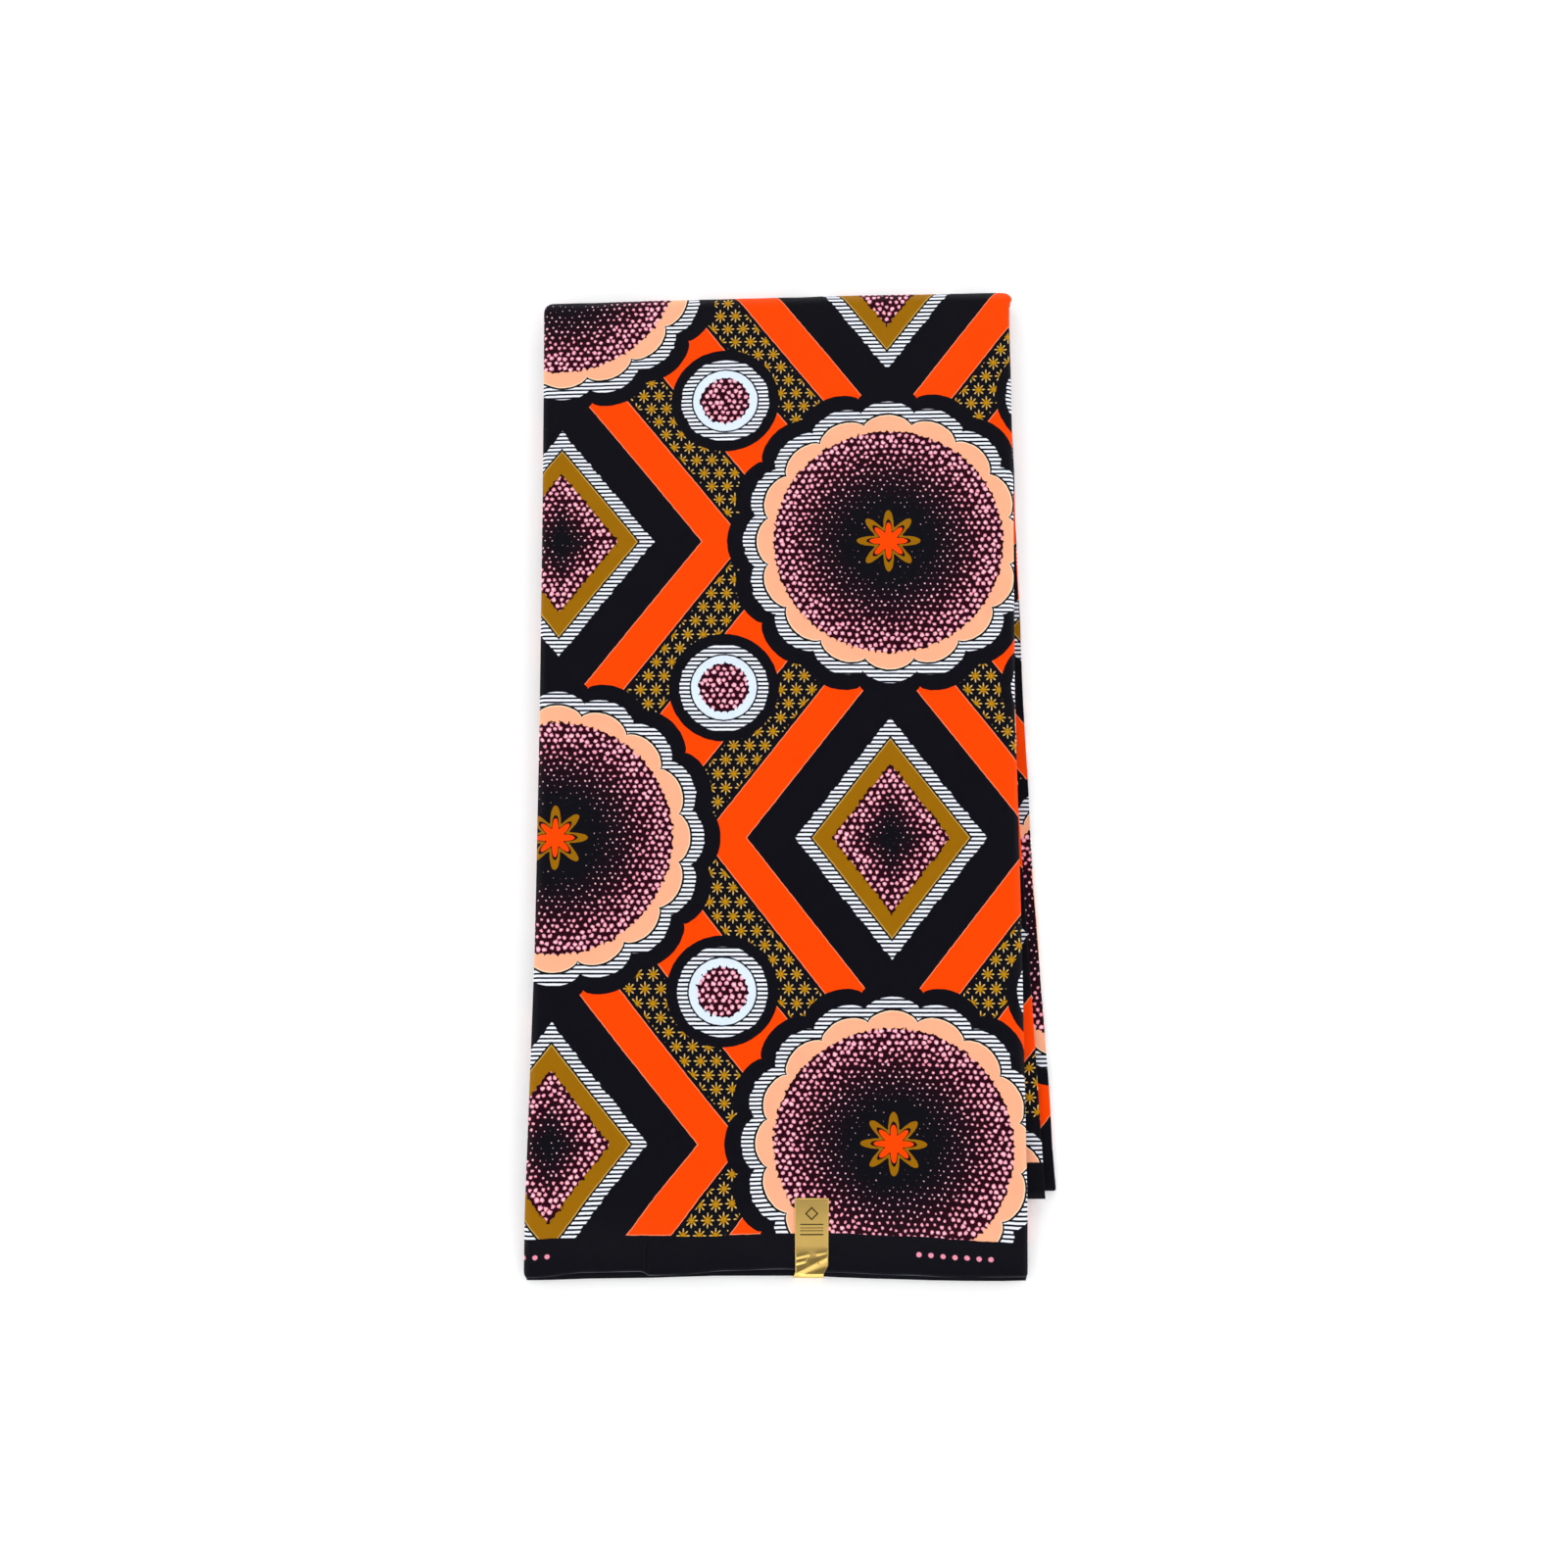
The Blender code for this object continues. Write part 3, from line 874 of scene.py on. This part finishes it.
class Measure:
    """A number that varies over a surface, worked out point by point by Math nodes."""

    def __init__(self, socket):
        self.socket = socket
        self.tree = socket.id_data

    def worked(self, operation, *others, clamped=False):
        node = self.tree.nodes.new("ShaderNodeMath")
        node.operation = operation
        node.use_clamp = clamped
        for entry, value in zip(node.inputs, (self, *others)):
            if isinstance(value, Measure):
                self.tree.links.new(value.socket, entry)
            else:
                entry.default_value = value
        return Measure(node.outputs[0])

    def __add__(self, other):
        return self.worked("ADD", other)

    def __sub__(self, other):
        return self.worked("SUBTRACT", other)

    def __mul__(self, other):
        return self.worked("MULTIPLY", other)

    def __truediv__(self, other):
        return self.worked("DIVIDE", other)

    def lower(self, other):
        return self.worked("MINIMUM", other)

    def higher(self, other):
        return self.worked("MAXIMUM", other)

    def from_number(self, number):
        """The number less this measure."""
        return self.worked("MULTIPLY_ADD", -1.0, number)

    def size(self):
        return self.worked("ABSOLUTE")

    def whole(self):
        return self.worked("FLOOR")

    def part(self):
        return self.worked("FRACT")

    def wave(self):
        return self.worked("COSINE")

    def bent(self, power):
        return self.worked("POWER", power)

    def to_and_fro(self, span):
        return self.worked("PINGPONG", span)

    def ramp(self, start, length):
        """0 up to start, then rising to 1 over the length. A length below 0 runs the other way."""
        return self.worked("MULTIPLY_ADD", 1.0 / length, -start / length, clamped=True)

    def within(self, soft=DYE_EDGE):
        """1 where the measure is below 0, with a soft edge."""
        return self.worked("MULTIPLY_ADD", -1.0 / soft, 0.5, clamped=True)

    def choose(self, if_low, if_high):
        """One measure where this one is 0 and the other where it is 1."""
        return if_low + (if_high - if_low) * self


def joined(x, y):
    """A vector of two measures."""
    node = x.tree.nodes.new("ShaderNodeCombineXYZ")
    x.tree.links.new(x.socket, node.inputs["X"])
    x.tree.links.new(y.socket, node.inputs["Y"])
    return node.outputs["Vector"]


def distance(x, y):
    node = x.tree.nodes.new("ShaderNodeVectorMath")
    node.operation = "LENGTH"
    x.tree.links.new(joined(x, y), node.inputs[0])
    return Measure(node.outputs["Value"])


def angle_of(x, y):
    return y.worked("ARCTAN2", x)


def noise(vector, scale, detail=2.0, roughness=0.5):
    tree = vector.id_data
    node = tree.nodes.new("ShaderNodeTexNoise")
    set_inputs(node, {"Scale": scale, "Detail": detail, "Roughness": roughness})
    tree.links.new(vector, node.inputs["Vector"])
    return Measure(node.outputs["Fac"])


def chance(x, y, seed):
    """A number from 0 to 1, the same all over one cell of a pattern."""
    node = x.tree.nodes.new("ShaderNodeTexWhiteNoise")
    node.noise_dimensions = "3D"
    vector = joined(x, y).node
    vector.inputs["Z"].default_value = seed
    x.tree.links.new(vector.outputs["Vector"], node.inputs["Vector"])
    return Measure(node.outputs["Value"])


def linear(code):
    """Linear colour from a six-figure screen code."""
    parts = [int(code[i : i + 2], 16) / 255 for i in (1, 3, 5)]
    return (*[((part + 0.055) / 1.055) ** 2.4 if part > 0.04045 else part / 12.92 for part in parts], 1.0)


class Dyeing:
    """The print as it builds up, one dye after another."""

    def __init__(self, tree, ground):
        self.tree = tree
        self.colour = linear(ground)

    def lay(self, dye, *masks):
        mask = masks[0]
        for other in masks[1:]:
            mask = mask * other
        mix = self.tree.nodes.new("ShaderNodeMix")
        mix.data_type = "RGBA"
        self.tree.links.new(mask.socket, mix.inputs[0])
        if isinstance(self.colour, tuple):
            mix.inputs[6].default_value = self.colour
        else:
            self.tree.links.new(self.colour, mix.inputs[6])
        mix.inputs[7].default_value = linear(dye)
        self.colour = mix.outputs[2]

    def lay_motif(self, place, motif, ragged, lines):
        """A motif's black outline, its hatching and the dyes inside it, each out to its own distance."""
        self.lay(BLACK, (place - motif["outline"]).within())
        self.lay(WHITE, (place - motif["hatching"] + ragged).within(), lines)
        for dye, reach in motif["dyes"]:
            self.lay(dye, (place - reach).within())

    def lay_dots(self, u, v, edge, full):
        """A maroon field of dots inside the edge, which fades to black where full falls to 0."""
        dots = close_dots(u, v, full)
        field = (edge - dots.higher(0.0) * FIELD_SWELL).within()
        self.lay(BLACK, field)
        self.lay(MAROON, field, full)
        inside = edge.within()
        self.lay(PINK, dots.within(), inside)
        self.lay(PALE_PINK, dots.within(), inside, full.ramp(start=0.7, length=-0.6))
        self.lay(PALE_PINK, (dots + PALE_CORE).within(PALE_CORE), inside)


def close_dots(u, v, full):
    """Close-set dots in uneven staggered rows, shrinking as full falls from 1 to 0. Below 0 inside a dot."""
    nearest = None
    for shift in (0.0, 0.5):
        across, up = u / DOT_PITCH_U + shift, v / DOT_PITCH_V + shift
        column, row = across.whole(), up.whole()
        stray_u = chance(column, row, 1.0 + shift) - 0.5
        stray_v = chance(column, row, 2.0 + shift) - 0.5
        size = chance(column, row, 3.0 + shift)
        du = (across - column - 0.5 - stray_u * DOT_STRAY_U) * DOT_PITCH_U
        dv = (up - row - 0.5 - stray_v * DOT_STRAY_V) * DOT_PITCH_V
        dot = distance(du, dv) - (size * DOT_SPREAD + DOT_LEAST) * full
        nearest = nearest.lower(dot) if nearest else dot
    uneven = noise(joined(u, v), scale=700.0, detail=1.0) - 0.5
    return nearest + uneven * DOT_RAGGED


def small_stars(u, v):
    """Eight-rayed stars in staggered rows: below 0 on a star, and the distance from its middle."""
    rows = v / STAR_PITCH_V
    columns = u / STAR_PITCH_U + rows.whole() * 0.5
    across = (columns.part() - 0.5) * STAR_PITCH_U
    up = (rows.part() - 0.5) * STAR_PITCH_V
    rays = (angle_of(across, up) * (STAR_RAYS / 2)).wave().size().bent(RAY_SHARPNESS)
    reach = distance(across, up)
    dash = (across.size() - DASH_HALF).higher((up.size() - DASH_UP).size() - DASH_LENGTH)
    return (reach - rays * STAR_RAY - STAR_CORE).lower(dash), reach


def fine_lines(v):
    """Even lines parallel to the selvedge. Below 0 on a line."""
    return ((v / LINE_PITCH).part() - 0.5).size() * LINE_PITCH - LINE_HALF


def between(low, high, measure):
    return measure.from_number(low).higher(measure - high)


def places_in_repeat(u, v):
    """Place from the nearest roundel's middle, then the distances from a lozenge's and a small one's."""
    half_width, half_height = REPEAT_WIDTH / 2, REPEAT_HEIGHT / 2
    x = (u - ROUNDEL_U).to_and_fro(half_width)
    y = (v - ROUNDEL_V).to_and_fro(half_height)
    far = (x / half_width + y / half_height).worked("GREATER_THAN", 1.0)
    x = far.choose(x, x.from_number(half_width))
    y = far.choose(y, y.from_number(half_height))
    length = math.hypot(LOZENGE_WIDTH, LOZENGE_HEIGHT)
    flat, steep = LOZENGE_WIDTH / length, LOZENGE_HEIGHT / length
    right_lozenge = x.from_number(half_width) * steep + y * flat
    upper_lozenge = x * steep + y.from_number(half_height) * flat
    small = distance(x - half_width / 2, y - half_height / 2)
    return x, y, right_lozenge.lower(upper_lozenge), small


def wax_print(tree, u, v, from_edge):
    """A generic wax-print design: scalloped roundels, banded lozenges, and zigzags between them."""
    wander = noise(joined(u, v), scale=260.0, detail=1.0) - 0.5
    stray = noise(joined(v, u), scale=310.0, detail=1.0) - 0.5
    lines = fine_lines(v + stray * LINE_WANDER).within()
    ragged = (chance((v / LINE_PITCH).whole(), v * 0.0, 5.0) - 0.5) * RAGGED
    u, v = u + wander * WANDER, v + stray * WANDER
    x, y, lozenge, small = places_in_repeat(u, v)
    band = (v - BAND).lower(v.from_number(CLOTH_WIDTH - BAND))

    dyeing = Dyeing(tree, BLACK)
    for low, high in ZIGZAGS:
        zigzag = between(low, high, lozenge).higher(band.from_number(BAND_MARGIN))
        dyeing.lay(PALE_ORANGE, (zigzag - PALE_LINE).within())
        dyeing.lay(ORANGE, zigzag.within())
    star, star_reach = small_stars(u, v)
    starred = between(*STARRED, lozenge).within()
    dyeing.lay(OCHRE, star.within(), starred)
    dyeing.lay(PALE_OCHRE, star.within(), starred, star_reach.ramp(start=0.0020, length=0.0012))

    dyeing.lay_motif(lozenge, LOZENGE, ragged, lines)
    dyeing.lay_dots(u, v, lozenge - LOZENGE["dots"], lozenge.ramp(start=0.004, length=0.017))
    dyeing.lay_motif(small, SMALL_ROUNDEL, ragged, lines)
    dyeing.lay_dots(u, v, small - SMALL_ROUNDEL["dots"], small.ramp(start=-1.0, length=0.5))
    reach, turn = distance(x, y), angle_of(x, y)
    scallop = (turn * (SCALLOPS / 2)).wave().size().bent(SCALLOP_CURVE) * SCALLOP_DEPTH
    dyeing.lay_motif(reach - scallop, ROUNDEL, ragged, lines)
    dyeing.lay_dots(u, v, reach - ROUNDEL["dots"], reach.ramp(start=0.025, length=0.036))
    petals = (turn * (FLOWER_PETALS / 2)).wave().bent(2.0) * FLOWER_PETAL + FLOWER_CORE
    dyeing.lay(BLACK, (reach - petals - FLOWER_OUTLINE).within())
    for dye, share in FLOWER_DYES:
        dyeing.lay(dye, (reach - petals * share).within())

    dyeing.lay(BLACK, band.within())
    spot = distance(((u / SPOT_PITCH).part() - 0.5) * SPOT_PITCH, v - SPOT_V) - SPOT_RADIUS
    right, left = [between(low, high, u) for low, high in SPOTTED]
    dyeing.lay(PINK, spot.within(SPOT_EDGE), right.lower(left).within())
    # Paler grey in patches along the cut edges: partly frayed fringe, partly a painted highlight standing in
    # for light on the edges' thickness
    fray_and_highlight_patches = noise(joined(u, v * 0.2), scale=26.0).ramp(start=0.38, length=0.25)
    dyeing.lay(FRAY_AND_HIGHLIGHT_GREY, (from_edge - FRAY_AND_HIGHLIGHT_EDGE).within(FRAY_AND_HIGHLIGHT_EDGE), fray_and_highlight_patches)
    return dyeing.colour


def new_material(name):
    material = bpy.data.materials.new(name)
    material.use_nodes = True
    tree = material.node_tree
    return material, tree, tree.nodes["Principled BSDF"]


def parts_of(tree, vector):
    """The first two measures of a vector."""
    split = tree.nodes.new("ShaderNodeSeparateXYZ")
    tree.links.new(vector, split.inputs["Vector"])
    return Measure(split.outputs["X"]), Measure(split.outputs["Y"])


def place_on(tree, name):
    """The two measures of a piece's own UV map."""
    node = tree.nodes.new("ShaderNodeUVMap")
    node.uv_map = name
    return parts_of(tree, node.outputs["UV"])


def bump(tree, height, depth, strength, normal=None):
    node = tree.nodes.new("ShaderNodeBump")
    set_inputs(node, {"Distance": depth, "Strength": strength})
    tree.links.new(height.socket, node.inputs["Height"])
    if normal is not None:
        tree.links.new(normal, node.inputs["Normal"])
    return node.outputs["Normal"]


def printed_cotton():
    """Plain-weave cotton, wax printed and pressed to a low gloss."""
    material, tree, shader = new_material("printed cotton")
    u, v = place_on(tree, "cloth")
    from_edge = tree.nodes.new("ShaderNodeAttribute")
    from_edge.attribute_name = "from_edge"
    colour = wax_print(tree, u, v, Measure(from_edge.outputs["Fac"]))

    mottling = noise(joined(u, v), scale=55.0, detail=4.0, roughness=0.6)
    shade = mottling * 0.16 + 0.92
    mix = tree.nodes.new("ShaderNodeMix")
    mix.data_type = "RGBA"
    mix.blend_type = "MULTIPLY"
    mix.inputs[0].default_value = 1.0
    grey = tree.nodes.new("ShaderNodeCombineColor")
    for entry in grey.inputs[:3]:
        tree.links.new(shade.socket, entry)
    tree.links.new(colour, mix.inputs[6])
    tree.links.new(grey.outputs["Color"], mix.inputs[7])
    tree.links.new(mix.outputs[2], shader.inputs["Base Color"])

    threads = (u * (math.pi / THREAD_PITCH)).wave() * (v * (math.pi / THREAD_PITCH)).wave()
    slubs = noise(joined(u * 40.0, v * 900.0), scale=1.0, detail=1.0)
    wrinkles = noise(joined(u, v * 0.7), scale=75.0)
    pressed = bump(tree, wrinkles, depth=0.00028, strength=0.6)
    normal = bump(tree, threads * 0.5 + slubs * 0.6, depth=0.00003, strength=0.5, normal=pressed)
    tree.links.new(normal, shader.inputs["Normal"])
    roughness = noise(joined(u, v), scale=30.0, detail=3.0) * 0.12 + 0.42
    tree.links.new(roughness.socket, shader.inputs["Roughness"])
    set_inputs(shader, {"Specular IOR Level": 0.05, "Sheen Weight": 0.012, "Sheen Roughness": 0.4})
    return material


def gold_foil():
    """Matt gold foil with a few plain rules printed on it, brighter where it is crumpled."""
    material, tree, shader = new_material("gold foil")
    across, down = place_on(tree, "cloth")
    dyeing = Dyeing(tree, "#d3b163")
    diamond = across.size() + (down - DIAMOND_DOWN).size()
    hollow = (diamond - DIAMOND_REACH).size() - DIAMOND_LINE / 2
    dyeing.lay("#1f1405", hollow.within(FOIL_PRINT_EDGE))
    for down_at, half in RULES:
        rule = ((down - down_at).size() - half).higher(across.size() - RULE_LENGTH / 2)
        dyeing.lay("#241806", rule.within(FOIL_PRINT_EDGE))
    tree.links.new(dyeing.colour, shader.inputs["Base Color"])
    set_inputs(shader, {"Metallic": 0.85})
    crumpled = down.ramp(start=0.026, length=0.008)
    cloudy = noise(joined(across, down), scale=420.0, detail=3.0)
    roughness = crumpled * -0.20 + 0.50 + (cloudy - 0.5) * 0.12
    tree.links.new(roughness.socket, shader.inputs["Roughness"])
    grain = noise(joined(across, down), scale=1500.0)
    normal = bump(tree, grain * 0.6 + cloudy, depth=0.00006, strength=0.20)
    tree.links.new(normal, shader.inputs["Normal"])
    return material


def add_floor():
    """A pale floor, which glows a little more far off, so that it stays white up to the backdrop."""
    bm = bmesh.new()
    bmesh.ops.create_grid(bm, x_segments=1, y_segments=1, size=FLOOR_HALF)
    material, tree, shader = new_material("pale floor")
    x, y = parts_of(tree, tree.nodes.new("ShaderNodeTexCoord").outputs["Object"])
    glow = distance(x, y).ramp(GLOW_FROM, GLOW_LENGTH) * GLOW_MORE + GLOW_NEAR
    tree.links.new(glow.socket, shader.inputs["Emission Strength"])
    set_inputs(shader, {"Base Color": (0.97, 0.97, 0.97, 1), "Roughness": 0.9})
    set_inputs(shader, {"Specular IOR Level": 0.1, "Emission Color": (1, 1, 1, 1)})
    add_surface("floor", bm, material)


def add_backdrop():
    """A low white wall all round, far outside the photograph's view."""
    bm = bmesh.new()
    bmesh.ops.create_cone(
        bm,
        segments=96,
        radius1=BACKDROP_RADIUS,
        radius2=BACKDROP_RADIUS,
        depth=BACKDROP_HEIGHT,
        cap_ends=False,
    )
    bmesh.ops.translate(bm, vec=(0, 0, BACKDROP_HEIGHT / 2), verts=bm.verts)
    material, _, shader = new_material("white backdrop")
    set_inputs(shader, {"Base Color": (0.9, 0.9, 0.9, 1), "Roughness": 0.9})
    set_inputs(shader, {"Emission Color": (0.97, 0.98, 1, 1), "Emission Strength": 0.65})
    add_surface("backdrop", bm, material)


def add_camera():
    data = bpy.data.cameras.new("camera")
    data.lens = 50
    data.sensor_width = 36
    camera = add_object("camera", data)
    tilt = math.radians(CAMERA_TILT)
    camera.location = (
        SHIFT_X,
        SHIFT_Y + CAMERA_RISE - CAMERA_DISTANCE * math.sin(tilt),
        CAMERA_DISTANCE * math.cos(tilt),
    )
    camera.rotation_euler = (tilt, 0, 0)
    bpy.context.scene.camera = camera


def add_lights():
    """Four big soft lights, low enough that the cloth's gloss doesn't mirror them, and a faint sky."""
    for name, (turn, height, away, power) in LIGHTS.items():
        data = bpy.data.lights.new(name, "AREA")
        data.shape = "SQUARE"
        data.size = LIGHT_SIZE
        data.energy = power
        light = add_object(name, data)
        turn, height = math.radians(turn), math.radians(height)
        light.location = (
            away * math.cos(height) * math.cos(turn),
            away * math.cos(height) * math.sin(turn),
            away * math.sin(height),
        )
        light.rotation_euler = (-light.location).to_track_quat("-Z", "Y").to_euler()
    world = bpy.data.worlds.new("studio")
    world.use_nodes = True
    set_inputs(world.node_tree.nodes["Background"], {"Color": (0.95, 0.97, 1.0, 1), "Strength": 0.09})
    bpy.context.scene.world = world
    bpy.context.scene.view_settings.view_transform = "Standard"


def dress(bm, name, node, material, thickness=None, sharp=40):
    """Makes a piece, puts it in the place of its CAD node, hangs it from the root body and hides that node.
    """
    piece = add_surface(name, bm, material, sharp)
    if thickness:
        give_thickness(piece, thickness)
    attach(piece, "root")
    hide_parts(node)


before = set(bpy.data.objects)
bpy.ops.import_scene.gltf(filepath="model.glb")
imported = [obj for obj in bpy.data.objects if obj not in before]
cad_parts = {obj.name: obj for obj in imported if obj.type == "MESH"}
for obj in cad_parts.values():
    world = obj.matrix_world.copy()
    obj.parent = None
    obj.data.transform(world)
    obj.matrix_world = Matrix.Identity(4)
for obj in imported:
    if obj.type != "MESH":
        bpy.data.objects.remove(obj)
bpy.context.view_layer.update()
low_corner, high_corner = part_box("front_panel")
SHIFT_X = low_corner.x - FRONT_LOW_X
SHIFT_Y = high_corner.y - FOLD_Y

add_camera()
add_floor()
add_backdrop()
add_lights()
cotton = printed_cotton()
foil = gold_foil()

dress(
    back_cloth(),
    "back_cloth",
    "back_panel",
    material=cotton,
)
dress(
    second_cloth(),
    "second_cloth",
    "second_panel",
    material=cotton,
    thickness=PLY,
)
dress(
    hidden_plies(),
    "hidden_plies",
    "inner_plies",
    material=cotton,
)
dress(
    front_cloth(),
    "front_cloth",
    "front_panel",
    material=cotton,
    thickness=PLY,
)
dress(
    foil_label(),
    "foil_seal",
    "foil_label",
    material=foil,
    thickness=FOIL,
    sharp=25,
)
